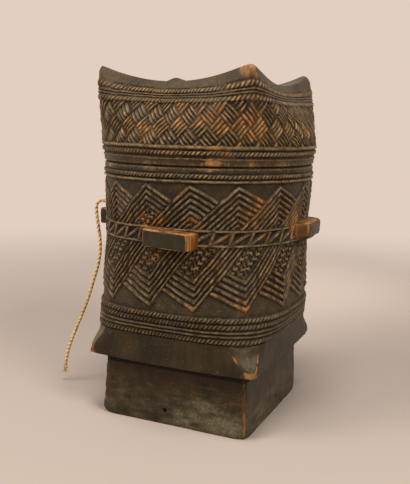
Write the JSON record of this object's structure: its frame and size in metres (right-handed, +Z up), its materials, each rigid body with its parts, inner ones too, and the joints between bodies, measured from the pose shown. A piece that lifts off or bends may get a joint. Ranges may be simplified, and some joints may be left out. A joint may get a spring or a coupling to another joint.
{
  "type": "lidded wooden box",
  "caption": "Carved wooden lidded box on a square foot, round at the seam, with a lid that lifts off an inner rim and rises to corner points, cord lugs at the belt and a hanging cord.",
  "frame": {"origin": "middle of the foot's underside, on the surface the box stands on", "axes": "+Z up, -Y toward the front lug, +X toward the right lug, the cord hangs on the -X side"},
  "size_m": [0.1773, 0.145, 0.22],
  "materials": {
    "container_wood": "dark carved hardwood with worn edges",
    "lid_wood": "dark carved hardwood with worn edges",
    "lug_wood": "dark hardwood worn to bare wood at the edges",
    "cord_fibre": "twisted plant fibre"
  },
  "bodies": {
    "container": {"container": "container_wood", "lug_front": "lug_wood", "lug_right": "lug_wood", "lug_back": "lug_wood", "lug_left": "lug_wood", "cord": "cord_fibre", "cord_knot": "cord_fibre"},
    "lid": {"lid": "lid_wood"}
  },
  "joints": [
    {"name": "lid_lift", "type": "slide", "parent": "container", "child": "lid", "axis": [0, 0, 1], "range_m": [0, 0.08]}
  ]
}
